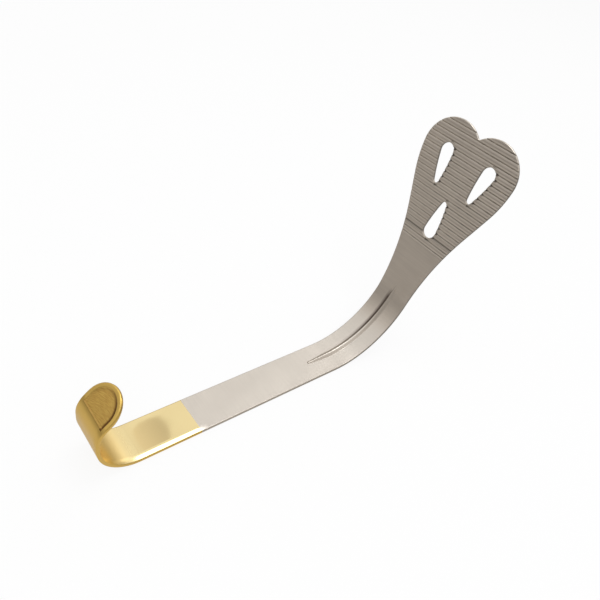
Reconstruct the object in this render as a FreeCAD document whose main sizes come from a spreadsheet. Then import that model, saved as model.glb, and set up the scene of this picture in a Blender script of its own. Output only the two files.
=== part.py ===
import FreeCAD, Part
import math
import os
import Sketcher

# A handheld retractor: one strip of steel sheet, stamped, bent and pressed.
# The strap lies flat along X, the toothed blade rises at its +X end and the hook with its
# finger pad folds up at its -X end. The origin is the middle of the strap's underside.
DIMENSIONS = [
    ("thickness", 1.1, "sheet thickness"),
    ("strap_width", 14.6, "width of the strap, the bends and the finger pad"),
    ("strap_length", 78.5, "flat length between the two bends"),
    ("bend_radius", 31.2, "inner radius of the bend below the blade"),
    ("bend_angle", 71.9, "turn of that bend in degrees"),
    ("blade_radius", 590, "inner radius of the blade's slight curve"),
    ("hook_radius", 12.7, "inner radius of the hook's first bend"),
    ("hook_angle", 90, "turn of the hook's first bend in degrees"),
    ("riser_length", 2, "flat length between the hook's bends"),
    ("fold_radius", 7.3, "inner radius of the hook's second bend"),
    ("fold_angle", 49, "turn of the hook's second bend in degrees"),
    ("pad_length", 8.9, "finger pad from the second bend to its tip"),
    ("flare_start", 3, "blade starts to widen this far before the bend's end"),
    ("flare_radius", 104, "radius of the hollow flank"),
    ("flank_angle", 19.9, "slope of the flank's straight stretch in degrees"),
    ("shoulder_radius", 41.5, "radius between the flank and the lobe"),
    ("lobe_radius", 11.5, "radius of each lobe"),
    ("lobe_distance", 55.9, "bend's end to the line through the lobe centres"),
    ("lobe_spacing", 16.8, "distance between the lobe centres"),
    ("notch_radius", 0.7, "radius in the notch between the lobes"),
    ("hole_length", 14.7, "length of each drop-shaped hole"),
    ("hole_round", 2.8, "radius of a hole's wide end"),
    ("hole_point", 1.2, "radius of a hole's narrow end"),
    ("hole_side", 60, "radius of a hole's long sides"),
    ("lobe_hole_distance", 55.6, "bend's end to the wide end of the lobe holes"),
    ("lobe_hole_spacing", 18.9, "distance between the wide ends of the lobe holes"),
    ("lobe_hole_splay", 8.8, "lean of the lobe holes away from the middle in degrees"),
    ("middle_hole_distance", 28.2, "bend's end to the wide end of the middle hole"),
    ("tooth_distance", 22.6, "bend's end to the first groove"),
    ("tooth_pitch", 2.05, "spacing of the grooves"),
    ("tooth_count", 22, "number of grooves"),
    ("tooth_width", 1.5, "width of a groove across its sloping shoulders"),
    ("tooth_shoulder", 0.06, "depth of a groove's shoulders"),
    ("tooth_slot", 0.5, "width of a groove between its shoulders"),
    ("tooth_depth", 0.42, "depth of a groove"),
    ("rib_height", 0.8, "height of the stiffening rib inside the bend"),
    ("rib_radius", 0.45, "radius of the rib's crown across its width"),
    ("rib_side_angle", 36, "slope of the rib's sides in degrees"),
    ("rib_depth", 1.1, "depth of the rib's section below its crest"),
    ("rib_lead", 8, "rib starts this far before the bend"),
    ("rib_lead_angle", 3, "slope of the rib's start in degrees"),
    ("rib_end_angle", 8.5, "rib starts to run out this far before the bend's end in degrees"),
    ("rib_end_length", 7.6, "length of the rib's run-out"),
    ("rib_hollow_radius", 0.3, "radius of the crown of the hollow pressed behind the rib"),
    ("rim_width", 1.3, "rim around the finger pad's recess"),
    ("recess_depth", 0.35, "depth of the finger pad's recess"),
    ("recess_wall_angle", 50, "lean of the recess's wall away from upright in degrees"),
    ("recess_start", 1.2, "recess reaches this far back over the second bend"),
    ("edge_break", 0.22, "width of the chamfer along the strip's edges"),
]

# Lengths that only have to clear the solid.
CLEARANCE = 2
BLADE_LEAD = 14
CUT_DEPTH = 30
PAD_CUT_DEPTH = 8
STRAP_CUT_DEPTH = 120

# Two faces meet at a sharp edge when the cosine between them is below this.
SHARP_COSINE = 0.5

# A cut takes away at least this volume, in cubic millimetres.
LEAST_CUT = 0.001

doc = FreeCAD.newDocument("retractor")


def make_sheet():
    sheet = doc.addObject("Spreadsheet::Sheet", "Dimensions")
    for row, (alias, value, words) in enumerate(DIMENSIONS, start=1):
        sheet.set(f"A{row}", words)
        sheet.set(f"B{row}", str(value))
        sheet.setAlias(f"B{row}", alias)
    doc.recompute()
    return sheet


sheet = make_sheet()
size = {alias: float(sheet.get(alias)) for alias, _, _ in DIMENSIONS}
turn = {alias: math.radians(value) for alias, value in size.items() if alias.endswith("angle")}
turn["lobe_hole_splay"] = math.radians(size["lobe_hole_splay"])


def cell(alias):
    """The expression that reads one driving dimension."""
    unit = " * 1 deg" if alias in turn else ""
    return f"(Dimensions.{alias}{unit})"


def vector(x, y):
    return FreeCAD.Vector(x, y, 0)


def line(start, end):
    return Part.LineSegment(vector(*start), vector(*end))


def arc(centre, radius, start, end):
    """A counter-clockwise arc between two angles in radians."""
    circle = Part.Circle(vector(*centre), FreeCAD.Vector(0, 0, 1), radius)
    return Part.ArcOfCircle(circle, start, end)


def polar(centre, radius, angle):
    return (centre[0] + radius * math.cos(angle), centre[1] + radius * math.sin(angle))


class Drawing:
    """A sketch on one of the body's origin planes, moved by bound offsets."""

    def __init__(self, body, name, role, base=(0, 0, 0), axis=(0, 0, 1), angle=0.0, bound=None):
        self.sketch = body.newObject("Sketcher::SketchObject", name)
        plane = [item for item in body.Origin.OriginFeatures if item.Role == role][0]
        self.sketch.AttachmentSupport = [(plane, "")]
        self.sketch.MapMode = "FlatFace"
        rotation = FreeCAD.Rotation(FreeCAD.Vector(*axis), math.degrees(angle))
        self.sketch.AttachmentOffset = FreeCAD.Placement(FreeCAD.Vector(*base), rotation)
        for path, expression in (bound or {}).items():
            self.sketch.setExpression(f".AttachmentOffset.{path}", expression)

    def add(self, *shapes):
        first = self.sketch.GeometryCount
        for shape in shapes:
            self.sketch.addGeometry(shape, False)
        return list(range(first, first + len(shapes)))

    def fix(self, kind, *where):
        self.sketch.addConstraint(Sketcher.Constraint(kind, *where))

    def drive(self, name, expression, kind, *where):
        """A constraint whose value follows the sheet."""
        index = self.sketch.addConstraint(Sketcher.Constraint(kind, *where))
        self.sketch.renameConstraint(index, name)
        self.sketch.setExpression(f"Constraints.{name}", expression)

    def place(self, name, geometry, point, across, up, spot):
        """Fixes a point at two bound distances from the sketch's origin."""
        self.drive(name + "_across", across, "DistanceX", -1, 1, geometry, point, spot[0])
        self.drive(name + "_up", up, "DistanceY", -1, 1, geometry, point, spot[1])

    def chain(self, corners):
        """Straight lines through the corners, joined end to end."""
        lines = self.add(*[line(a, b) for a, b in zip(corners, corners[1:])])
        for before, after in zip(lines, lines[1:]):
            self.fix("Coincident", before, 2, after, 1)
        return lines


def solve():
    """Recomputes and reports anything left invalid."""
    doc.recompute()
    for item in doc.Objects:
        if "Invalid" in item.State or "Error" in item.State:
            raise RuntimeError(f"{item.Name} failed: {item.State}")


def cut(body, name, drawing, depth, symmetric=True, lean=None):
    """A pocket that has to take material away, with leaning walls if a lean is named."""
    before = body.Shape.Volume
    pocket = body.newObject("PartDesign::Pocket", name)
    pocket.Profile = drawing.sketch
    pocket.SideType = "Symmetric" if symmetric else "One side"
    if isinstance(depth, str):
        pocket.setExpression("Length", depth)
    else:
        pocket.Length = depth
    if lean:
        pocket.setExpression("TaperAngle", f"-{cell(lean)}")
    solve()
    if pocket.Shape.Volume > before - LEAST_CUT:
        raise RuntimeError(f"{name} cuts nothing")
    return pocket


# Where the blade and the finger pad begin, as numbers and as expressions.
bend_end = (
    size["strap_length"] / 2 + size["bend_radius"] * math.sin(turn["bend_angle"]),
    size["thickness"] + size["bend_radius"] * (1 - math.cos(turn["bend_angle"])),
)
BEND_END_X = f"{cell('strap_length')} / 2 + {cell('bend_radius')} * sin({cell('bend_angle')})"
BEND_END_Z = f"{cell('thickness')} + {cell('bend_radius')} * (1 - cos({cell('bend_angle')}))"
BLADE_WIDTH = f"({cell('lobe_spacing')} + 2 * {cell('lobe_radius')})"

hook_turn = turn["hook_angle"]
pad_turn = turn["hook_angle"] + turn["fold_angle"]
hook_centre = (-size["strap_length"] / 2, size["thickness"] + size["hook_radius"])
HOOK_TURN = cell("hook_angle")
PAD_TURN = f"({cell('hook_angle')} + {cell('fold_angle')})"


def inward(angle):
    """Direction from the hook's sheet towards the inside of its bends."""
    return (math.sin(angle), math.cos(angle))


def along(angle):
    """Direction along the hook's sheet, towards the pad's tip."""
    return (-math.cos(angle), math.sin(angle))


riser_start = tuple(c - size["hook_radius"] * n for c, n in zip(hook_centre, inward(hook_turn)))
riser_end = tuple(p + size["riser_length"] * d for p, d in zip(riser_start, along(hook_turn)))
fold_centre = tuple(p + size["fold_radius"] * n for p, n in zip(riser_end, inward(hook_turn)))
fold_outer = size["fold_radius"] + size["thickness"]
pad_start = tuple(c - fold_outer * n for c, n in zip(fold_centre, inward(pad_turn)))
RADIUS_STEP = f"({cell('hook_radius')} - {cell('fold_radius')})"
FOLD_OUTER = f"({cell('fold_radius')} + {cell('thickness')})"
PAD_START_X = (
    f"-{cell('strap_length')} / 2 - {RADIUS_STEP} * sin({HOOK_TURN})"
    f" - {cell('riser_length')} * cos({HOOK_TURN}) - {FOLD_OUTER} * sin({PAD_TURN})"
)
PAD_START_Z = (
    f"{cell('thickness')} + {cell('hook_radius')} - {RADIUS_STEP} * cos({HOOK_TURN})"
    f" + {cell('riser_length')} * sin({HOOK_TURN}) - {FOLD_OUTER} * cos({PAD_TURN})"
)


def blade_drawing(body, name):
    """A sketch on the blade: x runs up the blade from the bend's end, y across it."""
    bound = {"Base.x": BEND_END_X, "Base.z": BEND_END_Z, "Rotation.Angle": cell("bend_angle")}
    base = (bend_end[0], 0, bend_end[1])
    return Drawing(body, name, "XY_Plane", base, (0, -1, 0), turn["bend_angle"], bound)


def pad_drawing(body, name):
    """A sketch on the finger pad's outer face: x runs from the second bend to the tip."""
    bound = {"Base.x": PAD_START_X, "Base.z": PAD_START_Z, "Rotation.Angle": f"180 deg - {PAD_TURN}"}
    base = (pad_start[0], 0, pad_start[1])
    return Drawing(body, name, "XY_Plane", base, (0, -1, 0), math.pi - pad_turn, bound)


def profile_side(offset):
    """The strip's inner face, or its outer face one thickness further out, as geometry."""
    down = -math.pi / 2
    half = size["strap_length"] / 2
    level = size["thickness"] - offset
    bend_centre = (half, size["thickness"] + size["bend_radius"])
    bend_turn = turn["bend_angle"]
    blade_centre = polar(bend_centre, size["blade_radius"] - size["bend_radius"], bend_turn - down)
    blade_turn = blade_span() / size["blade_radius"]
    fold_radius = size["fold_radius"] + offset
    riser_from = polar(hook_centre, size["hook_radius"] + offset, down - hook_turn)
    riser_to = polar(fold_centre, fold_radius, down - hook_turn)
    pad_from = polar(fold_centre, fold_radius, down - pad_turn)
    pad_to = tuple(p + (size["pad_length"] + CLEARANCE) * d for p, d in zip(pad_from, along(pad_turn)))
    return [
        line((-half, level), (half, level)),
        arc(bend_centre, size["bend_radius"] + offset, down, down + bend_turn),
        arc(blade_centre, size["blade_radius"] + offset, down + bend_turn, down + bend_turn + blade_turn),
        arc(hook_centre, size["hook_radius"] + offset, down - hook_turn, down),
        line(riser_from, riser_to),
        arc(fold_centre, fold_radius, down - pad_turn, down - hook_turn),
        line(pad_from, pad_to),
    ]


def blade_span():
    """Length of the blade's blank, a little past the lobes."""
    return size["lobe_distance"] + size["lobe_radius"] + CLEARANCE


def strip(body):
    """The bent strip as wide as the blade, from its side profile."""
    drawing = Drawing(body, "side_profile", "XZ_Plane")
    inner = drawing.add(*profile_side(0))
    outer = drawing.add(*profile_side(size["thickness"]))
    for strap, bend, blade, hook, riser, fold, pad in (inner, outer):
        drawing.fix("Tangent", strap, 2, bend, 1)
        drawing.fix("Tangent", bend, 2, blade, 1)
        drawing.fix("Tangent", hook, 2, strap, 1)
        drawing.fix("Tangent", hook, 1, riser, 1)
        drawing.fix("Tangent", riser, 2, fold, 2)
        drawing.fix("Tangent", fold, 1, pad, 1)
    strap, bend, blade, hook, riser, fold, pad = inner
    for index in (1, 2, 3, 5):
        drawing.fix("Coincident", inner[index], 3, outer[index], 3)
    ends = [drawing.sketch.Geometry[index].EndPoint for index in (blade, outer[2], pad, outer[6])]
    corners = [(end.x, end.y) for end in ends]
    blade_cap, pad_cap = drawing.add(line(*corners[:2]), line(*corners[2:]))
    for cap, inside, outside in ((blade_cap, blade, outer[2]), (pad_cap, pad, outer[6])):
        drawing.fix("Coincident", inside, 2, cap, 1)
        drawing.fix("Coincident", outside, 2, cap, 2)
    drawing.fix("PointOnObject", blade, 3, blade_cap)
    drawing.fix("Perpendicular", pad, pad_cap)
    drawing.fix("Parallel", riser, outer[4])
    drawing.fix("Parallel", pad, outer[6])
    drawing.fix("Symmetric", strap, 1, strap, 2, -2)
    drawing.fix("PointOnObject", outer[0], 1, -1)
    drawing.fix("PointOnObject", outer[0], 2, -1)
    for alias, index in (("bend", bend), ("blade", blade), ("hook", hook), ("fold", fold)):
        radius = size[alias + "_radius"]
        drawing.drive(alias + "_radius", cell(alias + "_radius"), "Radius", index, radius)
    for alias, index in (("bend", bend), ("hook", hook), ("fold", fold)):
        drawing.drive(alias + "_angle", cell(alias + "_angle"), "Angle", index, turn[alias + "_angle"])
    span = f"({cell('lobe_distance')} + {cell('lobe_radius')} + {CLEARANCE}) / {cell('blade_radius')}"
    drawing.drive("blade_turn", span + " * 1 rad", "Angle", blade, blade_span() / size["blade_radius"])
    drawing.drive("thickness", cell("thickness"), "DistanceY", -1, 1, strap, 2, size["thickness"])
    length = size["strap_length"]
    drawing.drive("strap_length", cell("strap_length"), "DistanceX", strap, 1, strap, 2, length)
    drawing.drive("riser_length", cell("riser_length"), "Distance", riser, size["riser_length"])
    blank = f"{cell('pad_length')} + {CLEARANCE}"
    drawing.drive("pad_blank", blank, "Distance", pad, size["pad_length"] + CLEARANCE)
    extrusion = body.newObject("PartDesign::Pad", "strip")
    extrusion.Profile = drawing.sketch
    extrusion.SideType = "Symmetric"
    extrusion.setExpression("Length", f"{BLADE_WIDTH} + {2 * CLEARANCE}")
    solve()


def strap_sides(body):
    """Trims the strap, its bends and the pad to the strap's width."""
    drawing = Drawing(body, "strap_sides", "XY_Plane")
    edge = size["strap_width"] / 2
    far = size["lobe_spacing"] / 2 + size["lobe_radius"] + 2 * CLEARANCE
    back = size["strap_length"]
    front = bend_end[0] - CLEARANCE
    for side, name in ((1, "left"), (-1, "right")):
        corners = [(-back, side * edge), (front, side * edge), (front, side * far), (-back, side * far)]
        sides = drawing.chain(corners + corners[:1])
        drawing.fix("Coincident", sides[-1], 2, sides[0], 1)
        for index, kind in zip(sides, ("Horizontal", "Vertical", "Horizontal", "Vertical")):
            drawing.fix(kind, index)
        sign = "" if side > 0 else "-"
        half_width = f"{sign}{cell('strap_width')} / 2"
        reach = f"{sign}({BLADE_WIDTH} / 2 + {CLEARANCE})"
        drawing.place(name + "_back", sides[0], 1, f"-{cell('strap_length')}", half_width, corners[0])
        drawing.place(name + "_front", sides[2], 1, f"{BEND_END_X} - {CLEARANCE}", reach, corners[2])
    cut(body, "strap_trim", drawing, STRAP_CUT_DEPTH)


def blade_flank(body):
    """Trims the blade to its outline: hollow flank, shoulder, lobe and notch, then mirrored."""
    drawing = blade_drawing(body, "blade_flank")
    edge = size["strap_width"] / 2
    slope = turn["flank_angle"]
    lobe = (size["lobe_distance"], size["lobe_spacing"] / 2)
    flare = (-size["flare_start"], edge + size["flare_radius"])
    flare_end = polar(flare, size["flare_radius"], slope - math.pi / 2)
    shoulder = shoulder_centre(flare_end, slope, lobe)
    shoulder_start = polar(shoulder, size["shoulder_radius"], slope + math.pi / 2)
    lobe_angle = math.atan2(lobe[1] - shoulder[1], lobe[0] - shoulder[0])
    notch_across = math.sqrt((size["lobe_radius"] + size["notch_radius"]) ** 2 - lobe[1] ** 2)
    notch = (lobe[0] + notch_across, 0)
    notch_angle = math.atan2(lobe[1], -notch_across)
    lobe_end = notch_angle - math.pi
    far_x = lobe[0] + size["lobe_radius"] + 2 * CLEARANCE
    far_y = lobe[1] + size["lobe_radius"] + 2 * CLEARANCE
    straight = [line((-BLADE_LEAD, edge), (flare[0], edge)), line(flare_end, shoulder_start)]
    edge_line, flank = drawing.add(*straight)
    flare_arc, shoulder_arc, lobe_arc, notch_arc = drawing.add(
        arc(flare, size["flare_radius"], -math.pi / 2, slope - math.pi / 2),
        arc(shoulder, size["shoulder_radius"], lobe_angle, slope + math.pi / 2),
        arc(lobe, size["lobe_radius"], lobe_end, lobe_angle),
        arc(notch, size["notch_radius"], notch_angle, math.pi),
    )
    axis_start = (notch[0] - size["notch_radius"], 0)
    rest = [axis_start, (far_x, 0), (far_x, far_y), (-BLADE_LEAD, far_y), (-BLADE_LEAD, edge)]
    middle, top, side, foot = drawing.chain(rest)
    drawing.fix("Tangent", edge_line, 2, flare_arc, 1)
    drawing.fix("Tangent", flare_arc, 2, flank, 1)
    drawing.fix("Tangent", flank, 2, shoulder_arc, 2)
    drawing.fix("Tangent", shoulder_arc, 1, lobe_arc, 2)
    drawing.fix("Tangent", lobe_arc, 1, notch_arc, 1)
    drawing.fix("Coincident", notch_arc, 2, middle, 1)
    drawing.fix("PointOnObject", notch_arc, 3, -1)
    drawing.fix("PointOnObject", middle, 1, -1)
    drawing.fix("Coincident", foot, 2, edge_line, 1)
    drawing.fix("Horizontal", edge_line)
    for index, kind in zip((middle, top, side, foot), ("Horizontal", "Vertical", "Horizontal", "Vertical")):
        drawing.fix(kind, index)
    drawing.drive("edge_start", str(-BLADE_LEAD), "DistanceX", -1, 1, edge_line, 1, -BLADE_LEAD)
    half_width = f"{cell('strap_width')} / 2"
    drawing.place("flare_start", edge_line, 2, f"-{cell('flare_start')}", half_width, (flare[0], edge))
    curves = (("flare", flare_arc), ("shoulder", shoulder_arc), ("lobe", lobe_arc), ("notch", notch_arc))
    for name, curve in curves:
        alias = name + "_radius"
        drawing.drive(alias, cell(alias), "Radius", curve, size[alias])
    drawing.drive("flank_angle", cell("flank_angle"), "Angle", flare_arc, slope)
    drawing.place("lobe", lobe_arc, 3, cell("lobe_distance"), f"{cell('lobe_spacing')} / 2", lobe)
    far_across = f"{cell('lobe_distance')} + {cell('lobe_radius')} + {2 * CLEARANCE}"
    drawing.place("far", top, 2, far_across, f"{BLADE_WIDTH} / 2 + {2 * CLEARANCE}", (far_x, far_y))
    pocket = cut(body, "blade_trim", drawing, CUT_DEPTH)
    mirror = body.newObject("PartDesign::Mirrored", "blade_trim_mirror")
    mirror.Originals = [pocket]
    mirror.MirrorPlane = ([item for item in body.Origin.OriginFeatures if item.Role == "XZ_Plane"][0], [""])
    body.Tip = mirror
    solve()


def shoulder_centre(flare_end, slope, lobe):
    """Centre of the shoulder arc, tangent to the flank's line and around the lobe's circle."""
    inside = (math.sin(slope), -math.cos(slope))
    ahead = (math.cos(slope), math.sin(slope))
    radius = size["shoulder_radius"]
    start = tuple(p + radius * n for p, n in zip(flare_end, inside))
    to_lobe = (lobe[0] - start[0], lobe[1] - start[1])
    forward = to_lobe[0] * ahead[0] + to_lobe[1] * ahead[1]
    aside = to_lobe[0] * inside[0] + to_lobe[1] * inside[1]
    length = forward - math.sqrt((radius - size["lobe_radius"]) ** 2 - aside ** 2)
    return tuple(p + length * d for p, d in zip(start, ahead))


def pad_end(body):
    """Rounds the finger pad's tip to half the strap's width."""
    drawing = pad_drawing(body, "pad_end")
    radius = size["strap_width"] / 2
    centre = (size["pad_length"] - radius, 0)
    far = (size["pad_length"] + 2 * CLEARANCE, radius + CLEARANCE)
    tip = drawing.add(arc(centre, radius, -math.pi / 2, math.pi / 2))[0]
    corners = [
        (centre[0], radius), (centre[0], far[1]), far,
        (far[0], -far[1]), (centre[0], -far[1]), (centre[0], -radius),
    ]
    sides = drawing.chain(corners)
    drawing.fix("Coincident", tip, 2, sides[0], 1)
    drawing.fix("Coincident", tip, 1, sides[-1], 2)
    for index, kind in zip(sides, ("Vertical", "Horizontal", None, "Horizontal", "Vertical")):
        if kind:
            drawing.fix(kind, index)
    drawing.fix("Vertical", tip, 1, tip, 3)
    drawing.fix("Vertical", tip, 2, tip, 3)
    drawing.fix("Symmetric", sides[1], 2, sides[2], 2, -1)
    half_width = f"{cell('strap_width')} / 2"
    middle = f"{cell('pad_length')} - {half_width}"
    drawing.drive("tip_radius", half_width, "Radius", tip, radius)
    drawing.drive("tip_centre", middle, "DistanceX", -1, 1, tip, 3, centre[0])
    drawing.fix("PointOnObject", tip, 3, -1)
    far_across = f"{cell('pad_length')} + {2 * CLEARANCE}"
    drawing.place("far", sides[1], 2, far_across, f"{half_width} + {CLEARANCE}", far)
    cut(body, "pad_trim", drawing, PAD_CUT_DEPTH)


def break_edges(body):
    """Breaks every sharp edge of the trimmed strip with a small chamfer."""
    base = body.Tip
    chamfer = body.newObject("PartDesign::Chamfer", "edge_break")
    chamfer.Base = (base, sharp_edges(base.Shape))
    chamfer.setExpression("Size", cell("edge_break"))
    solve()


def sharp_edges(shape):
    """Names of the edges where two faces meet at an angle."""
    names = []
    for number, edge in enumerate(shape.Edges, start=1):
        middle = edge.valueAt((edge.FirstParameter + edge.LastParameter) / 2)
        faces = shape.ancestorsOfType(edge, Part.Face)
        normals = [face.normalAt(*face.Surface.parameter(middle)) for face in faces]
        if len(normals) == 2 and abs(normals[0].dot(normals[1])) < SHARP_COSINE:
            names.append(f"Edge{number}")
    return names


def pad_recess(body):
    """The shallow recess in the finger pad, with a rim around its rounded end."""
    drawing = pad_drawing(body, "pad_recess")
    radius = size["strap_width"] / 2 - size["rim_width"]
    centre = size["pad_length"] - size["strap_width"] / 2
    start = -size["recess_start"]
    tip = drawing.add(arc((centre, 0), radius, -math.pi / 2, math.pi / 2))[0]
    corners = [(centre, radius), (start, radius), (start, -radius), (centre, -radius)]
    sides = drawing.chain(corners)
    drawing.fix("Coincident", tip, 2, sides[0], 1)
    drawing.fix("Coincident", tip, 1, sides[-1], 2)
    for index, kind in zip(sides, ("Horizontal", "Vertical", "Horizontal")):
        drawing.fix(kind, index)
    drawing.fix("Vertical", tip, 1, tip, 3)
    drawing.fix("Vertical", tip, 2, tip, 3)
    drawing.fix("PointOnObject", tip, 3, -1)
    half_width = f"{cell('strap_width')} / 2"
    middle = f"{cell('pad_length')} - {half_width}"
    drawing.drive("recess_radius", f"{half_width} - {cell('rim_width')}", "Radius", tip, radius)
    drawing.drive("recess_centre", middle, "DistanceX", -1, 1, tip, 3, centre)
    drawing.drive("recess_start", f"-{cell('recess_start')}", "DistanceX", -1, 1, sides[1], 1, start)
    cut(body, "recess", drawing, cell("recess_depth"), symmetric=False, lean="recess_wall_angle")


def teardrop(drawing, name, spot, direction, place_x, place_y, lean):
    """A drop-shaped hole: two end arcs joined by two long side arcs, wide end at spot."""
    wide, narrow, side = size["hole_round"], size["hole_point"], size["hole_side"]
    spacing = size["hole_length"] - wide - narrow
    point = polar(spot, spacing, direction)
    across = (wide - narrow) * (2 * side - wide - narrow)
    ahead = (spacing ** 2 - across) / (2 * spacing)
    aside = math.sqrt((side - wide) ** 2 - ahead ** 2)
    centres = []
    for sign in (1, -1):
        foot = polar(spot, ahead, direction)
        centres.append(polar(foot, -sign * aside, direction + math.pi / 2))
    left, right = centres

    def angle(a, b):
        return math.atan2(b[1] - a[1], b[0] - a[0])

    wide_left, wide_right = angle(left, spot), angle(right, spot)
    tip_left, tip_right = angle(left, point), angle(right, point)
    wide_arc, tip_arc, left_arc, right_arc = drawing.add(
        ccw(spot, wide, wide_left, wide_right),
        ccw(point, narrow, tip_right, tip_left),
        ccw(left, side, tip_left, wide_left),
        ccw(right, side, wide_right, tip_right),
    )
    drawing.fix("Tangent", wide_arc, 1, left_arc, 2)
    drawing.fix("Tangent", left_arc, 1, tip_arc, 2)
    drawing.fix("Tangent", tip_arc, 1, right_arc, 2)
    drawing.fix("Tangent", right_arc, 1, wide_arc, 2)
    drawing.drive(name + "_round", cell("hole_round"), "Radius", wide_arc, wide)
    drawing.drive(name + "_point", cell("hole_point"), "Radius", tip_arc, narrow)
    drawing.drive(name + "_left", cell("hole_side"), "Radius", left_arc, side)
    drawing.drive(name + "_right", cell("hole_side"), "Radius", right_arc, side)
    drawing.place(name, wide_arc, 3, place_x, place_y, spot)
    length = f"({cell('hole_length')} - {cell('hole_round')} - {cell('hole_point')})"
    drawing.place(
        name + "_tip", tip_arc, 3, f"{place_x} + {length} * cos({lean})",
        f"{place_y} + {length} * sin({lean})", point,
    )


def ccw(centre, radius, start, end):
    """An arc with its end angle brought ahead of its start angle."""
    while end < start:
        end += 2 * math.pi
    return arc(centre, radius, start, end)


def blade_holes(body):
    """Three drop-shaped holes: one in the middle and one in each lobe."""
    drawing = blade_drawing(body, "blade_holes")
    splay = turn["lobe_hole_splay"]
    aside = size["lobe_hole_spacing"] / 2
    distance, spacing = cell("lobe_hole_distance"), cell("lobe_hole_spacing")
    lean = cell("lobe_hole_splay")
    teardrop(drawing, "middle", (size["middle_hole_distance"], 0), 0,
             cell("middle_hole_distance"), "0", "0 deg")
    teardrop(drawing, "left", (size["lobe_hole_distance"], aside), math.pi + splay,
             distance, f"{spacing} / 2", f"(180 deg + {lean})")
    teardrop(drawing, "right", (size["lobe_hole_distance"], -aside), math.pi - splay,
             distance, f"-{spacing} / 2", f"(180 deg - {lean})")
    cut(body, "drop_holes", drawing, CUT_DEPTH)


def rib_path(body):
    """The rib's crest: a gentle lead-in, an arc inside the bend and a run-out on the blade."""
    drawing = Drawing(body, "rib_path", "XZ_Plane")
    centre = (size["strap_length"] / 2, size["thickness"] + size["bend_radius"])
    radius = size["bend_radius"] - size["rib_height"]
    first = turn["rib_lead_angle"]
    last = turn["bend_angle"] - turn["rib_end_angle"]
    arc_start = polar(centre, radius, first - math.pi / 2)
    arc_end = polar(centre, radius, last - math.pi / 2)
    lead_x = size["strap_length"] / 2 - size["rib_lead"]
    lead_z = arc_start[1] - (arc_start[0] - lead_x) * math.tan(first)
    lead, run_out = drawing.add(
        line((lead_x, lead_z), arc_start),
        line(arc_end, polar(arc_end, size["rib_end_length"], last)),
    )
    crest = drawing.add(arc(centre, radius, first - math.pi / 2, last - math.pi / 2))[0]
    drawing.fix("Tangent", lead, 2, crest, 1)
    drawing.fix("Tangent", crest, 2, run_out, 1)
    half_length = f"{cell('strap_length')} / 2"
    drawing.place("centre", crest, 3, half_length, f"{cell('thickness')} + {cell('bend_radius')}", centre)
    drawing.drive("crest_radius", f"{cell('bend_radius')} - {cell('rib_height')}", "Radius", crest, radius)
    span = f"{cell('bend_angle')} - {cell('rib_end_angle')} - {cell('rib_lead_angle')}"
    drawing.drive("lead_slope", cell("rib_lead_angle"), "Angle", -1, 1, lead, 1, first)
    drawing.drive("crest_span", span, "Angle", crest, last - first)
    lead_start = f"{half_length} - {cell('rib_lead')}"
    drawing.drive("lead_start", lead_start, "DistanceX", -1, 1, lead, 1, lead_x)
    drawing.drive("run_out", cell("rib_end_length"), "Distance", run_out, size["rib_end_length"])
    return drawing, (lead_x, lead_z)


LEAD_TAN = f"tan({cell('rib_lead_angle')})"
LEAD_COS = f"cos({cell('rib_lead_angle')})"
LEAD_Z = (
    f"{cell('thickness')} + {cell('bend_radius')}"
    f" - ({cell('bend_radius')} - {cell('rib_height')}) / {LEAD_COS} - {cell('rib_lead')} * {LEAD_TAN}"
)


def rib_section(body, name, start):
    """A sketch square to the rib's start: x across the strap, y away from the strap."""
    bound = {
        "Base.y": LEAD_Z,
        "Base.z": f"{cell('strap_length')} / 2 - {cell('rib_lead')}",
        "Rotation.Angle": cell("rib_lead_angle"),
    }
    base = (0, start[1], start[0])
    return Drawing(body, name, "YZ_Plane", base, (-1, 0, 0), turn["rib_lead_angle"], bound)


def ridge_section(drawing, alias, top, top_level, depth, drop):
    """A ridge's section: a rounded crown over two sloping sides and a flat foot."""
    radius = size[alias + "_radius"]
    slope = turn["rib_side_angle"]
    centre = (0, top - radius)
    right_end = polar(centre, radius, math.pi / 2 - slope)
    foot = top - depth
    foot_half = right_end[0] + (right_end[1] - foot) / math.tan(slope)
    crown = drawing.add(arc(centre, radius, math.pi / 2 - slope, math.pi / 2 + slope))[0]
    left_end = (-right_end[0], right_end[1])
    left, base, right = drawing.chain([left_end, (-foot_half, foot), (foot_half, foot), right_end])
    drawing.fix("Tangent", crown, 2, left, 1)
    drawing.fix("Tangent", right, 2, crown, 1)
    drawing.fix("PointOnObject", crown, 3, -2)
    drawing.fix("Symmetric", base, 1, base, 2, -2)
    crown_radius = cell(alias + "_radius")
    drawing.drive("crown_radius", crown_radius, "Radius", crown, radius)
    drawing.drive("crown_span", f"2 * {cell('rib_side_angle')}", "Angle", crown, 2 * slope)
    drawing.drive("crown_level", f"{top_level} - {crown_radius}", "DistanceY", -1, 1, crown, 3, centre[1])
    drawing.drive("foot_level", f"{top_level} - {drop}", "DistanceY", -1, 1, base, 1, foot)


def rib(body):
    """The stiffening rib pressed up inside the bend, and the hollow it leaves behind."""
    path, start = rib_path(body)
    ridge = rib_section(body, "rib_section", start)
    ridge_section(ridge, "rib", 0, "0", size["rib_depth"], cell("rib_depth"))
    sweep(body, "PartDesign::AdditivePipe", "rib", path, ridge, 1)
    hollow = rib_section(body, "rib_hollow_section", start)
    level = f"-{cell('thickness')}"
    ridge_section(hollow, "rib_hollow", -size["thickness"], level, CLEARANCE, str(CLEARANCE))
    sweep(body, "PartDesign::SubtractivePipe", "rib_hollow", path, hollow, -1)


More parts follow.
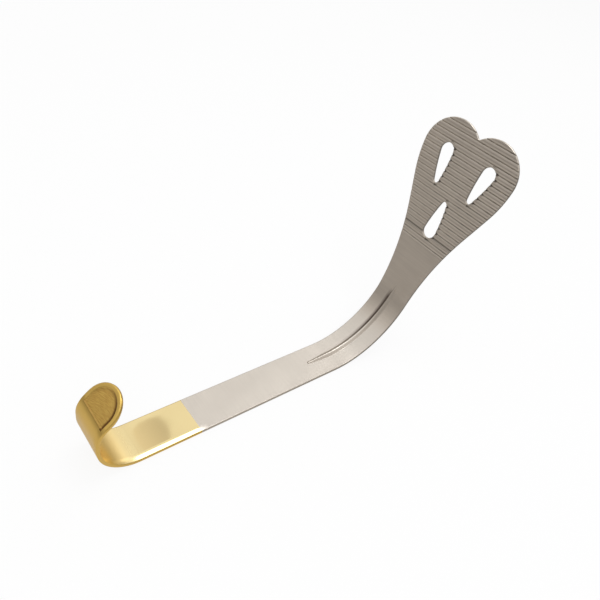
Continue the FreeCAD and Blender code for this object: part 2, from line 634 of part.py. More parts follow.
def sweep(body, kind, name, path, section, sign):
    """A section carried along the rib's path."""
    before = body.Shape.Volume
    pipe = body.newObject(kind, name)
    pipe.Profile = section.sketch
    pipe.Spine = (path.sketch, ["Edge1", "Edge2", "Edge3"])
    solve()
    if (pipe.Shape.Volume - before) * sign <= 0:
        raise RuntimeError(f"{name} changes nothing")


def teeth(body):
    """Grooves across the blade's inner face, spaced around the centre of its slight curve."""
    radius = size["blade_radius"]
    bend = turn["bend_angle"]
    first = bend + size["tooth_distance"] / radius
    centre = (bend_end[0] - radius * math.sin(bend), bend_end[1] + radius * math.cos(bend))
    turned = f"({cell('bend_angle')} + {cell('tooth_distance')} / {cell('blade_radius')} * 1 rad)"
    bound = {
        "Base.x": f"{BEND_END_X} - {cell('blade_radius')} * sin({cell('bend_angle')})",
        "Base.y": f"{BEND_END_Z} + {cell('blade_radius')} * cos({cell('bend_angle')})",
        "Rotation.Angle": turned,
    }
    drawing = Drawing(body, "tooth_groove", "XZ_Plane", (*centre, 0), (0, 0, 1), first, bound)
    slot = size["tooth_slot"] / 2
    mouth = size["tooth_width"] - slot
    drop = size["tooth_shoulder"]
    corners = [
        (-mouth, drop - radius), (-slot, -drop - radius), (0, -radius - size["tooth_depth"]),
        (slot, -drop - radius), (mouth, drop - radius),
    ]
    sides = drawing.chain(corners + corners[:1])
    drawing.fix("Coincident", sides[-1], 2, sides[0], 1)
    drawing.fix("Symmetric", sides[0], 1, sides[4], 1, -2)
    drawing.fix("Symmetric", sides[1], 1, sides[3], 1, -2)
    drawing.fix("PointOnObject", sides[2], 1, -2)
    half_slot = f"{cell('tooth_slot')} / 2"
    level = f"-{cell('blade_radius')}"
    shoulder = cell("tooth_shoulder")
    mouth_across = f"{cell('tooth_width')} - {half_slot}"
    drawing.place("mouth", sides[4], 1, mouth_across, f"{level} + {shoulder}", corners[4])
    drawing.place("slot", sides[3], 1, half_slot, f"{level} - {shoulder}", corners[3])
    bottom = f"{level} - {cell('tooth_depth')}"
    drawing.drive("bottom", bottom, "DistanceY", -1, 1, sides[2], 1, corners[2][1])
    groove = cut(body, "tooth", drawing, f"{BLADE_WIDTH} + {2 * CLEARANCE}")
    pattern = body.newObject("PartDesign::PolarPattern", "teeth")
    pattern.Originals = [groove]
    pattern.Axis = (drawing.sketch, ["N_Axis"])
    pattern.setExpression("Occurrences", "Dimensions.tooth_count")
    steps = f"(Dimensions.tooth_count - 1) * {cell('tooth_pitch')} / {cell('blade_radius')} * 1 rad"
    pattern.setExpression("Angle", steps)
    body.Tip = pattern
    solve()


def retractor():
    body = doc.addObject("PartDesign::Body", "retractor")
    body.Label = "retractor"
    strip(body)
    strap_sides(body)
    blade_flank(body)
    pad_end(body)
    break_edges(body)
    pad_recess(body)
    rib(body)
    blade_holes(body)
    teeth(body)
    body.Placement = FreeCAD.Placement()
    return body


def write(bodies):
    """Writes each sub-part once it is proved to be one sound solid."""
    solve()
    os.makedirs("parts", exist_ok=True)
    for body in bodies:
        shape = body.Shape
        if shape.isNull() or not shape.isValid() or len(shape.Solids) != 1:
            raise RuntimeError(f"{body.Label} is not one sound solid")
        solid = shape.Solids[0]
        solid.exportStep(f"parts/{body.Label}.step")
        print(body.Label, "volume", round(solid.Volume, 1), "faces", len(solid.Faces))
        print("centre of mass", solid.CenterOfMass)
        print("box", solid.BoundBox)


write([retractor()])
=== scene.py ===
import math

import bpy
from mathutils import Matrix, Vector

# The looks of a handheld retractor: one strip of satin steel whose hook end is plated with gold.
# Lengths are in metres, in the part's own frame, unless a name ends in MM.
MM = 0.001

CAMERA_PLACE_MM = (-88.04, -100.55, 156.43)
CAMERA_TURN_DEG = (50.074, -10.777, -37.834)
LENS_MM = 34.89
SENSOR_MM = 36.0
NEAREST_SEEN = 0.01

# Sizes of the part's source that the finish follows.
STRAP_LENGTH_MM = 78.5
HALF_WIDTH_MM = 14.6 / 2
THICKNESS_MM = 1.1
BEND_RADIUS_MM = 31.2
BEND_DEG = 71.9
BLADE_RADIUS_MM = 590.0
TOOTH_DISTANCE_MM = 22.6
TOOTH_PITCH_MM = 2.05
TOOTH_SLOT_MM = 0.5
HOLE_ROUND_MM = 2.8
HOLE_POINT_MM = 1.2
HOLE_SPAN_MM = 14.7 - HOLE_ROUND_MM - HOLE_POINT_MM
# Each hole's wide end, above the bend's end and across the blade, and the way to its tip in degrees.
HOLES = ((28.2, 0.0, 0.0), (55.6, 9.45, 188.8), (55.6, -9.45, 171.2))
PAD_LENGTH_MM = 8.9
PAD_START_MM = (-50.16, 22.14)
PAD_TURN_DEG = 139.0
RECESS_DEPTH_MM = 0.35
RECESS_WALL_DEG = 50.0
RECESS_FOOT_RADIUS_MM = 5.6
RECESS_FOOT_START_MM = -1.0

# Noise values between which a pattern runs from one end of its range to the other.
SOFT_NOISE = (0.3, 0.7)
SHARP_NOISE = (0.35, 0.65)

# Steel: colour, its cloudy levels, the grain's level and share, and its roughness.
STEEL = (0.645, 0.594, 0.53)
STEEL_CLOUD_LEVELS = (0.95, 1.03)
GRAIN_LEVEL = 0.86
GRAIN_SHARE = 0.35
STEEL_ROUGHNESS = (0.29, 0.40)

# Gold: paler low on the strap and deeper up the hook, with a faint tarnish.
PALE_GOLD = (0.86, 0.70, 0.365)
GOLD = (0.82, 0.565, 0.155)
TARNISH = (0.3, 0.2, 0.08, 1.0)
TARNISH_SHARE = 0.06
GOLD_ROUGHNESS = (0.03, 0.065)
HOOK_ROUGHNESS = 0.30
HOOK_SATIN_MM = (-36.0, -42.0)
PALE_GOLD_TOP_MM = 1.15
DEEP_GOLD_FROM_MM = 5.0
SIDE_FACE_MM = (0.3, 0.1)
PLATING_EDGE_MM = -18.6
PLATING_BLUR_MM = 0.12
PLATING_WANDER_MM = 0.06

# Features a metre in each pattern, along X, Y and Z.
WANDER_SCALE = (900, 900, 900)
GRAIN_SCALE = (4500, 70, 70)
SPECKLE_SCALE = (5000, 5000, 5000)
CLOUD_SCALE = (90, 90, 90)
FIBRE_SCALE = (400, 400, 400)

# Rounding of edges, and depths of the fine relief. The gold is smoother by these shares.
EDGE_ROUND_MM = 0.22
BUFFED_ROUND_MM = 0.45
BEVEL_SAMPLES = 8
GRAIN_DEPTH_MM = 0.006
GRAIN_ON_GOLD = 0.05
STROKE_DEPTH_MM = 0.02
SPECKLE_DEPTH_MM = 0.004
SPECKLE_ON_GOLD = 0.08

# The gold's near edge, buffed round: it starts to lean and leans fully this far from the side.
ROLL_START_MM = 2.5
ROLL_FULL_MM = 0.6
ROLL_SLOPE = 0.34
BUFFED_FROM_MM = PLATING_EDGE_MM + 3.0
BUFFED_TO_MM = PLATING_EDGE_MM - 1.0

# The blade's grooves. Places and half widths of lines are in groove pitches.
BLADE_FACE_MM = 0.6
# Painted shade darkens the grooves; a painted highlight lights each groove's lip and the rib's crest.
PAINTED_GROOVE_SHADE = (0.16, 0.14, 0.12, 1.0)
PAINTED_HIGHLIGHT = (0.86, 0.81, 0.74, 1.0)
LINE_CORE = 0.3
SLOT_SPREAD = 0.8
SLOT_LINE = (0.0, TOOTH_SLOT_MM / TOOTH_PITCH_MM * SLOT_SPREAD)
SLOT_SHADE = 0.44
LAND_LINE = (0.5, 0.10)
LAND_SHADE = 0.26
LIP_LINE = (0.24, 0.12)
LIP_HIGHLIGHT = 0.35
DEEP_LINE = (0.0, 0.34)
DEEP_ROW = 1.95
DEEP_REACH = 1.125
DEEP_SHADE = 0.6
POCKET_LINE = (0.0, 0.36)
POCKET_REACH_MM = (0.7, 1.3)
# How strong the painted groove shade is: patchy along each groove and stronger toward the blade's near
# side.
GROOVE_SHADE_SCALE_PER_MM = 0.35
GROOVE_SHADE_ROW_STEP = 7.3
GROOVE_SHADE_LEVELS = (0.45, 1.25)
GROOVE_SHADE_SIDE_MM = 14.0
GROOVE_SHADE_SIDE_LEVELS = (0.6, 1.15)

# The rib: places along it are shares of the bend, places across it are distances from its middle.
# Painted shade behind the rib's crest up the bend and a painted highlight along its crest.
RIB_SHADE = (0.16, 0.13, 0.11, 1.0)
RIB_SPAN = (-0.1, 0.02, 0.93, 1.03)
RIB_FACE_RISE_MM = THICKNESS_MM * 0.7
SHADE_ASIDE_MM = (0.05, 0.3, 1.1, 2.2)
SHADE_RISE = (0.15, 0.6)
SHADE_LEVELS = (0.1, 0.95)
CREST_ASIDE_MM = -0.15
CREST_REACH_MM = (0.1, 0.45)
CREST_FADE = (0.5, 0.75)
CREST_HIGHLIGHT = 0.5

# The finger pad's recess: its floor, brush strokes by their number a metre, and painted shade along its
# wall.
RECESS_TINT = (0.55, 0.29, 0.07, 1.0)
RECESS_ROUGHNESS = 0.3
FLOOR_REACH_MM = 0.2
FLOOR_BACK_MM = -1.5
FLOOR_HALF_WIDTH_MM = HALF_WIDTH_MM - 1.2
STROKE_LEAN_DEG = 20
STROKE_BOW = 25.0
STROKES_ALONG = 450.0
STROKES_ACROSS = 3500.0
STROKE_TINT = 0.55
# Painted shade at the foot of the recess's wall, round its tip and along its start.
PAINTED_WALL_SHADE = (0.16, 0.07, 0.02, 1.0)
WALL_SHADE_REACH_MM = (-0.9, -0.3)
WALL_SHADE_SIDE_MM = (2.0, -4.5)
WALL_SHADE_LEVELS = (0.15, 0.95)
WALL_SHADE_RISE_MM = 0.42
START_REACH_MM = (0.25, 0.55)
START_LEVEL = 0.5

# Floor, sky and the cards around the object.
FLOOR_SIZE = 3.0
FLOOR_DROP = 0.00002
PAPER_COLOURS = ((0.86, 0.86, 0.86, 1.0), (0.88, 0.88, 0.88, 1.0))
WHITE = (1.0, 1.0, 1.0, 1.0)
BACKDROP_SHARE = 0.88
SKY_LIGHT = 0.75
CARD_TINT = (1.0, 0.945, 0.89, 1.0)
CARD_REACH = 1.0
CARD_RISE = 0.0003
CARD_TOP_LEVEL = 0.98
FLOOR_CARD_LEVELS = (0.66, 0.30)
FLOOR_CARD_FADE = (-0.04, 0.06)
FAR_FLOOR_LEVELS = (1.0, 0.53)
FAR_FLOOR_FADE = (0.14, 0.5)
# Name, first and last bearing in degrees, level at the foot, height where it starts to rise, and top.
WALL_CARDS = (
    ("far_card", 200, 128, 0.30, 0.12, 0.72),
    ("side_card", 128, 50, 0.42, 0.05, 0.80),
    ("right_card", 50, -20, 0.60, 0.02, 0.50),
    ("near_right_card", -20, -90, 0.32, 0.05, 1.20),
    ("near_left_card", -90, -160, 0.30, 0.05, 1.20),
)
# A dull card overhead, which the gold strap mirrors as a soft cloud.
FLAG_HEIGHT_MM = 600
FLAG_OUTLINE_MM = (
    (204, 410), (209, 392), (204, 370), (192, 354), (177, 347), (162, 350), (151, 362), (146, 378),
    (149, 394), (158, 406), (172, 413), (189, 414),
)
FLAG_LEVELS = (0.94, 0.66)
FLAG_FADE_MM = (148, 205)
# Name, place, target, width, watts, and whether the object mirrors it.
LAMPS = (
    ("key", (-0.35, -0.6, 0.9), (0.02, 0, 0.02), 0.8, 3.0, False),
    ("glint", (0.66, 0.27, 0.47), (0.03, 0, 0), 0.4, 0.24, True),
    ("edge", (0.19, 0.0, 0.7), (0, 0, 0), 0.36, 0.9, True),
)


class Shader:
    """Builds the nodes of one material or world from left to right."""

    def __init__(self, block):
        block.use_nodes = True
        self.tree = block.node_tree
        self.tree.nodes.clear()

    def node(self, kind, inputs=None, **settings):
        node = self.tree.nodes.new("ShaderNode" + kind)
        for name, value in settings.items():
            setattr(node, name, value)
        for key, value in (inputs or {}).items():
            if isinstance(value, bpy.types.NodeSocket):
                self.tree.links.new(value, node.inputs[key])
            else:
                node.inputs[key].default_value = value
        return node

    def place(self):
        return self.node("TexCoord").outputs["Object"]

    def axes(self, place):
        return self.node("SeparateXYZ", {0: place}).outputs

    def math(self, operation, first, second=0.0):
        return self.node("Math", {0: first, 1: second}, operation=operation).outputs[0]

    def product(self, first, *others):
        for other in others:
            first = self.math("MULTIPLY", first, other)
        return first

    def weighted(self, first, first_share, second, second_share):
        """The sum of two values, each times its share."""
        return self.math("ADD", self.product(first, first_share), self.product(second, second_share))

    def away(self, value, middle=0.0):
        """How far a value lies from a middle, either way."""
        return self.math("ABSOLUTE", self.math("SUBTRACT", value, middle))

    def length(self, first, second):
        squares = self.math("ADD", self.product(first, first), self.product(second, second))
        return self.math("SQRT", squares)

    def remap(self, value, low, high, out_low=0.0, out_high=1.0):
        inputs = {"Value": value, "From Min": low, "From Max": high, "To Min": out_low, "To Max": out_high}
        return self.node("MapRange", inputs, clamp=True).outputs["Result"]

    def band(self, value, start, full, fading, end):
        """1 between full and fading, 0 outside start and end."""
        return self.product(self.remap(value, start, full), self.remap(value, fading, end, 1.0, 0.0))

    def vector(self, x=0.0, y=0.0, z=0.0):
        return self.node("CombineXYZ", {"X": x, "Y": y, "Z": z}).outputs[0]

    def vector_math(self, operation, first, second=(0.0, 0.0, 0.0)):
        return self.node("VectorMath", {0: first, 1: second}, operation=operation)

    def noise(self, place, scale=(1, 1, 1), detail=2.0):
        stretched = self.vector_math("MULTIPLY", place, scale).outputs[0]
        return self.node("TexNoise", {"Vector": stretched, "Scale": 1.0, "Detail": detail}).outputs["Fac"]

    def mix(self, share, first, second):
        inputs = {"Factor": share, "A": first, "B": second}
        return self.node("Mix", inputs, data_type="RGBA").outputs["Result"]

    def bump(self, height, depth_mm, normal):
        inputs = {"Height": height, "Distance": depth_mm * MM, "Strength": 1.0, "Normal": normal}
        return self.node("Bump", inputs).outputs["Normal"]

    def finish(self, surface):
        self.node("OutputMaterial", {"Surface": surface})


def rgba(colour, level=1.0):
    return (*[channel * level for channel in colour], 1.0)


def metres(lengths_mm):
    return [length * MM for length in lengths_mm]


def new_material(name):
    material = bpy.data.materials.new(name)
    return material, Shader(material)


def blade_rows(shader, axes):
    """How far up the blade a point lies, in groove pitches, and its height over the inner face."""
    bend = math.radians(BEND_DEG)
    arm = (BLADE_RADIUS_MM - BEND_RADIUS_MM) * MM
    centre_x = STRAP_LENGTH_MM / 2 * MM - arm * math.sin(bend)
    centre_z = (THICKNESS_MM + BEND_RADIUS_MM) * MM + arm * math.cos(bend)
    across = shader.math("SUBTRACT", axes["X"], centre_x)
    down = shader.math("SUBTRACT", centre_z, axes["Z"])
    angle = shader.math("ARCTAN2", across, down)
    first = bend + TOOTH_DISTANCE_MM / BLADE_RADIUS_MM
    rows = shader.product(shader.math("SUBTRACT", angle, first), BLADE_RADIUS_MM / TOOTH_PITCH_MM)
    rise = shader.math("SUBTRACT", BLADE_RADIUS_MM * MM, shader.length(across, down))
    return rows, rise


def line_mask(shader, rows, line):
    """1 on a line across the blade once a pitch, 0 elsewhere."""
    shift, half_width = line
    phase = shader.math("FRACT", shader.math("ADD", rows, 0.5 - shift))
    return shader.remap(shader.away(phase, 0.5), half_width * LINE_CORE, half_width, 1.0, 0.0)


def groove_shade_strength(shader, rows, aside):
    """How strong the painted groove shade is: uneven along each groove, and stronger on the blade's near
    side.
    """
    number = shader.math("FLOOR", shader.math("ADD", rows, 0.5))
    spot = shader.vector(shader.product(aside, GROOVE_SHADE_SCALE_PER_MM), shader.product(number, GROOVE_SHADE_ROW_STEP))
    patchy = shader.remap(shader.noise(spot), *SOFT_NOISE, *GROOVE_SHADE_LEVELS)
    nearness = shader.remap(aside, GROOVE_SHADE_SIDE_MM, -GROOVE_SHADE_SIDE_MM, *GROOVE_SHADE_SIDE_LEVELS)
    return shader.product(patchy, nearness)


def beside_hole(shader, spot, hole):
    """1 along the near side of a drop-shaped hole's edge, for a spot on the blade in millimetres."""
    up, aside, way_deg = hole
    way = math.radians(way_deg)
    heading = (math.cos(way), math.sin(way), 0.0)
    from_wide = shader.vector_math("SUBTRACT", spot, (up, aside, 0.0)).outputs[0]
    ahead = shader.vector_math("DOT_PRODUCT", from_wide, heading).outputs["Value"]
    share = shader.remap(ahead, 0.0, HOLE_SPAN_MM)
    reach = [share_of_way * HOLE_SPAN_MM for share_of_way in heading]
    foot = shader.node("VectorMath", {0: reach, "Scale": share}, operation="SCALE").outputs[0]
    offset = shader.vector_math("SUBTRACT", from_wide, foot).outputs[0]
    distance = shader.vector_math("LENGTH", offset).outputs["Value"]
    radius = shader.remap(share, 0.0, 1.0, HOLE_ROUND_MM, HOLE_POINT_MM)
    gap = shader.math("SUBTRACT", distance, radius)
    near_side = shader.math("LESS_THAN", shader.axes(offset)["Y"], 0.0)
    return shader.product(shader.remap(gap, *POCKET_REACH_MM, 1.0, 0.0), near_side)


def painted_groove_shade(shader, rows, aside, shade_strength):
    """Painted shade in the grooves: fainter between them, deeper in a low pair and beside the holes."""
    slots = shader.product(line_mask(shader, rows, SLOT_LINE), SLOT_SHADE)
    lands = shader.product(line_mask(shader, rows, LAND_LINE), LAND_SHADE)
    painted_shade = shader.product(shader.math("ADD", slots, lands), shade_strength)
    low_pair = shader.remap(shader.away(rows, DEEP_ROW), DEEP_REACH * LINE_CORE, DEEP_REACH, 1.0, 0.0)
    deep = shader.product(line_mask(shader, rows, DEEP_LINE), low_pair, DEEP_SHADE)
    painted_shade = shader.math("MAXIMUM", painted_shade, deep)
    up = shader.math("ADD", shader.product(rows, TOOTH_PITCH_MM), TOOTH_DISTANCE_MM)
    spot = shader.vector(up, aside)
    # Painted shade where the grooves meet the near side of each hole.
    pocket = line_mask(shader, rows, POCKET_LINE)
    for hole in HOLES:
        painted_shade = shader.math("MAXIMUM", painted_shade, shader.product(beside_hole(shader, spot, hole), pocket))
    return painted_shade


def toothed_shade_and_highlight(shader, axes, steel):
    """Painted shade in the grooves and a painted highlight on each groove's lip, on the blade's inner
    face.
    """
    rows, rise = blade_rows(shader, axes)
    above_start = shader.math("GREATER_THAN", rows, -0.5)
    inner_face = shader.math("LESS_THAN", shader.away(rise), BLADE_FACE_MM * MM)
    toothed = shader.product(above_start, inner_face)
    aside = shader.product(axes["Y"], 1.0 / MM)
    shade_strength = groove_shade_strength(shader, rows, aside)
    highlight = shader.product(line_mask(shader, rows, LIP_LINE), LIP_HIGHLIGHT, shade_strength)
    # Painted highlight along each groove's lip.
    steel = shader.mix(shader.product(highlight, toothed), steel, PAINTED_HIGHLIGHT)
    # Painted shade in the grooves.
    painted_shade = painted_groove_shade(shader, rows, aside, shade_strength)
    return shader.mix(shader.product(painted_shade, toothed), steel, PAINTED_GROOVE_SHADE)


def rib_shade_and_highlight(shader, axes, steel):
    """Painted shade behind the rib's crest up the bend, and a painted highlight along the crest below."""
    bend = math.radians(BEND_DEG)
    across = shader.math("SUBTRACT", axes["X"], STRAP_LENGTH_MM / 2 * MM)
    down = shader.math("SUBTRACT", (THICKNESS_MM + BEND_RADIUS_MM) * MM, axes["Z"])
    turned = shader.product(shader.math("ARCTAN2", across, down), 1.0 / bend)
    above = shader.math("GREATER_THAN", axes["Z"], RIB_FACE_RISE_MM * MM)
    half_way_in = (BEND_RADIUS_MM + THICKNESS_MM / 2) * MM
    inner_side = shader.math("LESS_THAN", shader.length(across, down), half_way_in)
    on_rib = shader.product(shader.band(turned, *RIB_SPAN), above, inner_side)

    # Painted shade behind the crest, growing up the bend.
    behind = shader.band(axes["Y"], *metres(SHADE_ASIDE_MM))
    rib_shade_share = shader.product(behind, shader.remap(turned, *SHADE_RISE, *SHADE_LEVELS), on_rib)
    steel = shader.mix(rib_shade_share, steel, RIB_SHADE)
    # Painted highlight along the crest, fading up the bend.
    from_crest = shader.away(axes["Y"], CREST_ASIDE_MM * MM)
    crest = shader.remap(from_crest, *metres(CREST_REACH_MM), 1.0, 0.0)
    highlight = shader.product(crest, shader.remap(turned, *CREST_FADE, CREST_HIGHLIGHT, 0.0), on_rib)
    return shader.mix(highlight, steel, PAINTED_HIGHLIGHT)


def pad_place(shader, axes):
    """How far a point lies toward the finger pad's tip, and over the recess's floor."""
    turn = math.radians(PAD_TURN_DEG)
    along = shader.math("SUBTRACT", axes["X"], PAD_START_MM[0] * MM)
    up = shader.math("SUBTRACT", axes["Z"], PAD_START_MM[1] * MM)
    tipward = shader.weighted(along, -math.cos(turn), up, math.sin(turn))
    outward = shader.weighted(along, -math.sin(turn), up, -math.cos(turn))
    return tipward, shader.math("ADD", outward, RECESS_DEPTH_MM * MM)


def brush_strokes(shader, tipward, sideways):
    """Short bowed strokes that lean across the recess."""
    lean = math.radians(STROKE_LEAN_DEG)
    along = shader.weighted(tipward, math.sin(lean), sideways, -math.cos(lean))
    across = shader.weighted(tipward, math.cos(lean), sideways, math.sin(lean))
    bowed = shader.math("ADD", across, shader.product(along, along, STROKE_BOW))
    spot = shader.vector(shader.product(along, STROKES_ALONG), shader.product(bowed, STROKES_ACROSS))
    return shader.remap(shader.noise(spot), *SHARP_NOISE)


def recess_wall_shade(shader, axes, tipward, over_floor):
    """Painted shade along the recess's wall: round its tip, most on the near side, and along its start."""
    past_middle = shader.math("SUBTRACT", tipward, (PAD_LENGTH_MM - HALF_WIDTH_MM) * MM)
    ahead = shader.math("MAXIMUM", past_middle, 0.0)
    from_foot = shader.math("SUBTRACT", shader.length(ahead, axes["Y"]), RECESS_FOOT_RADIUS_MM * MM)
    wall_run = RECESS_DEPTH_MM * math.tan(math.radians(RECESS_WALL_DEG))
    within = shader.math("LESS_THAN", from_foot, wall_run * MM)
    near_floor = shader.math("LESS_THAN", shader.away(over_floor), WALL_SHADE_RISE_MM * MM)
    nearness = shader.remap(axes["Y"], *metres(WALL_SHADE_SIDE_MM), *WALL_SHADE_LEVELS)
    ring = shader.product(shader.remap(from_foot, *metres(WALL_SHADE_REACH_MM)), nearness)
    from_start = shader.away(tipward, RECESS_FOOT_START_MM * MM)
    start = shader.remap(from_start, *metres(START_REACH_MM), START_LEVEL, 0.0)
    return shader.product(shader.math("MAXIMUM", ring, start), within, near_floor)


def recess_strokes_and_shade(shader, axes):
    """The recess's floor, its brush strokes and the painted shade along its wall, each from 0 to 1."""
    tipward, over_floor = pad_place(shader, axes)
    on_pad = shader.math("GREATER_THAN", tipward, FLOOR_BACK_MM * MM)
    near_floor = shader.math("LESS_THAN", shader.away(over_floor), FLOOR_REACH_MM * MM)
    inside = shader.math("LESS_THAN", shader.away(axes["Y"]), FLOOR_HALF_WIDTH_MM * MM)
    floor = shader.product(near_floor, on_pad, inside)
    strokes = brush_strokes(shader, tipward, axes["Y"])
    wall_shade = shader.product(recess_wall_shade(shader, axes, tipward, over_floor), on_pad)
    return floor, strokes, wall_shade


def steel_colour(shader, axes, grain, clouds):
    darkest, palest = [rgba(STEEL, level) for level in STEEL_CLOUD_LEVELS]
    steel = shader.mix(shader.remap(clouds, *SOFT_NOISE), darkest, palest)
    grained = shader.remap(grain, *SHARP_NOISE, 0.0, GRAIN_SHARE)
    steel = shader.mix(grained, steel, rgba(STEEL, GRAIN_LEVEL))
    # Painted shade and painted highlights in the grooves and along the rib.
    return rib_shade_and_highlight(shader, axes, toothed_shade_and_highlight(shader, axes, steel))


def gold_colour(shader, axes, clouds, recess):
    """Paler low on the strap, deeper up the hook and on the side faces, tinted in the recess, with painted
    shade along its wall.
    """
    floor, strokes, wall_shade = recess
    full = shader.remap(axes["Z"], PALE_GOLD_TOP_MM * MM, DEEP_GOLD_FROM_MM * MM)
    gold = shader.mix(full, rgba(PALE_GOLD), rgba(GOLD))
    gold = shader.mix(shader.remap(clouds, *SHARP_NOISE, 0.0, TARNISH_SHARE), gold, TARNISH)
    inner, outer = [(HALF_WIDTH_MM - inset) * MM for inset in SIDE_FACE_MM]
    side_face = shader.remap(shader.away(axes["Y"]), inner, outer)
    gold = shader.mix(side_face, gold, rgba(GOLD))
    gold = shader.mix(shader.product(floor, strokes, STROKE_TINT), gold, RECESS_TINT)
    # Painted shade along the recess's wall.
    return shader.mix(wall_shade, gold, PAINTED_WALL_SHADE)


def strip_roughness(shader, axes, plated, speckle, clouds, recess_floor):
    """Satin on the steel; the gold is polished on the strap, satin on the hook and in the recess."""
    steel = shader.remap(speckle, *SOFT_NOISE, *STEEL_ROUGHNESS)
    gold = shader.remap(clouds, *SOFT_NOISE, *GOLD_ROUGHNESS)
    hook = shader.remap(axes["X"], *metres(HOOK_SATIN_MM), 0.0, HOOK_ROUGHNESS)
    gold = shader.math("MAXIMUM", gold, hook)
    gold = shader.math("MAXIMUM", gold, shader.product(recess_floor, RECESS_ROUGHNESS))
    blend = {"Factor": plated, "A": steel, "B": gold}
    return shader.node("Mix", blend, data_type="FLOAT").outputs["Result"]


def rolled_edge(shader, axes, normal):
    """The gold's buffed near edge: the surface leans outward along it."""
    start, full = (ROLL_START_MM - HALF_WIDTH_MM) * MM, (ROLL_FULL_MM - HALF_WIDTH_MM) * MM
    toward = shader.remap(axes["Y"], start, full)
    buffed = shader.remap(axes["X"], BUFFED_FROM_MM * MM, BUFFED_TO_MM * MM)
    sideways = shader.vector(y=shader.product(toward, buffed, -ROLL_SLOPE))
    leaning = shader.vector_math("ADD", normal, sideways).outputs[0]
    return shader.vector_math("NORMALIZE", leaning).outputs[0]


def strip_normal(shader, axes, plated, grain, speckle, strokes_on_floor):
    """Rounded edges, the gold's rolled edge, then grain, brush strokes and speckle."""
    round_over = shader.remap(plated, 0.0, 1.0, EDGE_ROUND_MM * MM, BUFFED_ROUND_MM * MM)
    normal = shader.node("Bevel", {"Radius": round_over}, samples=BEVEL_SAMPLES).outputs["Normal"]
    normal = rolled_edge(shader, axes, normal)
    grain_height = shader.product(grain, shader.remap(plated, 0.0, 1.0, 1.0, GRAIN_ON_GOLD))
    speckle_height = shader.product(speckle, shader.remap(plated, 0.0, 1.0, 1.0, SPECKLE_ON_GOLD))
    normal = shader.bump(grain_height, GRAIN_DEPTH_MM, normal)
    normal = shader.bump(strokes_on_floor, STROKE_DEPTH_MM, normal)
    return shader.bump(speckle_height, SPECKLE_DEPTH_MM, normal)


def plating_mask(shader, axes, place):
    """1 where the strip is plated, with a slightly wandering edge."""
    wander_mm = (-PLATING_WANDER_MM, PLATING_WANDER_MM)
    wander = shader.remap(shader.noise(place, WANDER_SCALE), *SOFT_NOISE, *metres(wander_mm))
    low = (PLATING_EDGE_MM - PLATING_BLUR_MM) * MM
    high = (PLATING_EDGE_MM + PLATING_BLUR_MM) * MM
    return shader.remap(shader.math("ADD", axes["X"], wander), low, high, 1.0, 0.0)


def strip_material():
    """Satin steel, plated with gold from the strap's end to the finger pad."""
    material, shader = new_material("plated_steel")
    place = shader.place()
    axes = shader.axes(place)
    plated = plating_mask(shader, axes, place)
    grain = shader.noise(place, GRAIN_SCALE, 3.0)
    speckle = shader.noise(place, SPECKLE_SCALE)
    clouds = shader.noise(place, CLOUD_SCALE)
    recess = recess_strokes_and_shade(shader, axes)
    floor, strokes, _ = recess

    steel = steel_colour(shader, axes, grain, clouds)
    gold = gold_colour(shader, axes, clouds, recess)
    surface = shader.node("BsdfPrincipled", {
        "Base Color": shader.mix(plated, steel, gold),
        "Metallic": 1.0,
        "Roughness": strip_roughness(shader, axes, plated, speckle, clouds, floor),
        "Normal": strip_normal(shader, axes, plated, grain, speckle, shader.product(floor, strokes)),
    })
    shader.finish(surface.outputs[0])
    return material


def seen_directly(shader):
    """1 for rays that show the backdrop itself: to the camera, in gloss and through glass."""
    path = shader.node("LightPath").outputs
    seen = shader.math("MAXIMUM", path["Is Camera Ray"], path["Is Glossy Ray"])
    return shader.math("MAXIMUM", seen, path["Is Transmission Ray"])


def floor_material():
    """Pale matt paper that shows white and keeps a soft shadow."""
    material, shader = new_material("paper")
    fibre = shader.noise(shader.place(), FIBRE_SCALE, 3.0)
    paper = shader.node("BsdfDiffuse", {"Color": shader.mix(fibre, *PAPER_COLOURS)}).outputs[0]
    white = shader.node("Emission", {"Color": WHITE, "Strength": 1.0}).outputs[0]
    share = shader.product(seen_directly(shader), BACKDROP_SHARE)
    shader.finish(shader.node("MixShader", {0: share, 1: paper, 2: white}).outputs[0])
    return material


def sheet(name, corners, material):
    """A flat sheet that belongs to the studio, not to the part."""
    mesh = bpy.data.meshes.new(name)
    mesh.from_pydata(corners, [], [tuple(range(len(corners)))])
    mesh.materials.append(material)
    piece = bpy.data.objects.new(name, mesh)
    bpy.context.scene.collection.objects.link(piece)
    return piece


def card(name, corners, grade):
    """A matt card that only gloss sees; grade works out its level from a place on it."""
    material, shader = new_material(name)
    strength = grade(shader, shader.place())
    shader.finish(shader.node("Emission", {"Color": CARD_TINT, "Strength": strength}).outputs[0])
    piece = sheet(name, corners, material)
    piece.visible_camera = False
    piece.visible_diffuse = False
    piece.visible_shadow = False
    piece.visible_transmission = False


def height_grade(low, top, foot_level):
    """Rises from the card's foot level to its top level between two heights."""
    def grade(shader, place):
        return shader.remap(shader.axes(place)["Z"], low, top, foot_level, CARD_TOP_LEVEL)
    return grade


def floor_grade(shader, place):
    """Light beside the hook, darker beside the bend, and duller far away."""
    near = shader.remap(shader.axes(place)["X"], *FLOOR_CARD_FADE, *FLOOR_CARD_LEVELS)
    distance = shader.vector_math("LENGTH", place).outputs["Value"]
    return shader.product(near, shader.remap(distance, *FAR_FLOOR_FADE, *FAR_FLOOR_LEVELS))


def flag_grade(shader, place):
    """Duller toward the strap's middle."""
    return shader.remap(shader.axes(place)["X"], *metres(FLAG_FADE_MM), *FLAG_LEVELS)


def square(half, height):
    return [(-half, -half, height), (half, -half, height), (half, half, height), (-half, half, height)]


def card_foot(bearing):
    angle = math.radians(bearing)
    return CARD_REACH * math.cos(angle), CARD_REACH * math.sin(angle)


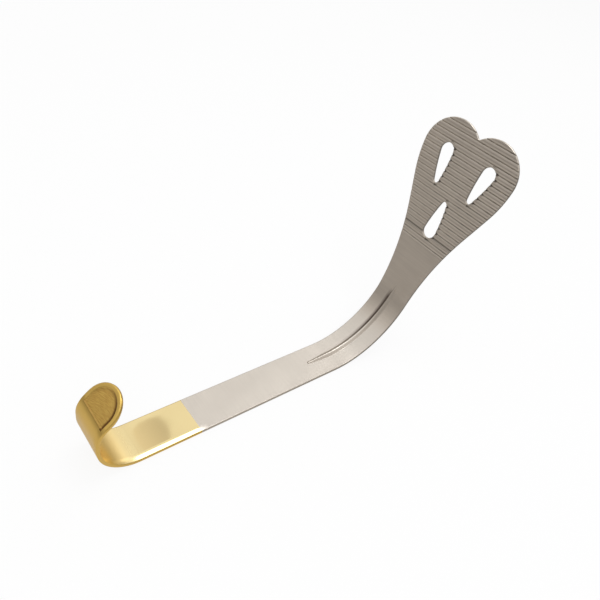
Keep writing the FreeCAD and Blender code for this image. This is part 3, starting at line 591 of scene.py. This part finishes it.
def cards():
    """Dull cards around the object: its upright faces mirror them, its flat ones the white sky."""
    card("low_card", square(CARD_REACH, CARD_RISE), floor_grade)
    for name, first, last, foot_level, low, top in WALL_CARDS:
        start, end = card_foot(first), card_foot(last)
        corners = [(*start, 0), (*end, 0), (*end, top), (*start, top)]
        card(name, corners, height_grade(low, top, foot_level))
    card("flag", [metres((x, y, FLAG_HEIGHT_MM)) for x, y in FLAG_OUTLINE_MM], flag_grade)


def backdrop():
    """The floor and a white world that lights the object evenly."""
    sheet("floor", square(FLOOR_SIZE / 2, -FLOOR_DROP), floor_material())
    world = bpy.data.worlds.new("studio")
    bpy.context.scene.world = world
    shader = Shader(world)
    strength = shader.remap(seen_directly(shader), 0.0, 1.0, SKY_LIGHT, 1.0)
    sky = shader.node("Background", {"Color": WHITE, "Strength": strength})
    shader.node("OutputWorld", {"Surface": sky.outputs[0]})


def lamp(name, place, target, size, watts, mirrored):
    light = bpy.data.lights.new(name, "AREA")
    light.shape = "DISK"
    light.size = size
    light.energy = watts
    piece = bpy.data.objects.new(name, light)
    piece.location = place
    aim = Vector(target) - Vector(place)
    piece.rotation_euler = aim.to_track_quat("-Z", "Y").to_euler()
    piece.visible_glossy = mirrored
    bpy.context.scene.collection.objects.link(piece)


def camera():
    data = bpy.data.cameras.new("camera")
    data.lens = LENS_MM
    data.sensor_width = SENSOR_MM
    data.clip_start = NEAREST_SEEN
    piece = bpy.data.objects.new("camera", data)
    piece.location = Vector(CAMERA_PLACE_MM) * MM
    piece.rotation_euler = [math.radians(turn) for turn in CAMERA_TURN_DEG]
    bpy.context.scene.collection.objects.link(piece)
    bpy.context.scene.camera = piece


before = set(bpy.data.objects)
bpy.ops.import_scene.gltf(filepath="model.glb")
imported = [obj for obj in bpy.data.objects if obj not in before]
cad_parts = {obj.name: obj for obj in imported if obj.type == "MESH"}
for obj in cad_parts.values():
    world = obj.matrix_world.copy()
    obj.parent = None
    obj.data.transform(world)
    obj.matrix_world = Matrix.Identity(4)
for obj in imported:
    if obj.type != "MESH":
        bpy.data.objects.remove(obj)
bpy.context.view_layer.update()

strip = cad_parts["retractor"]
strip.data.materials.clear()
strip.data.materials.append(strip_material())

backdrop()
cards()
for row in LAMPS:
    lamp(*row)
camera()
bpy.context.scene.view_settings.view_transform = "Standard"
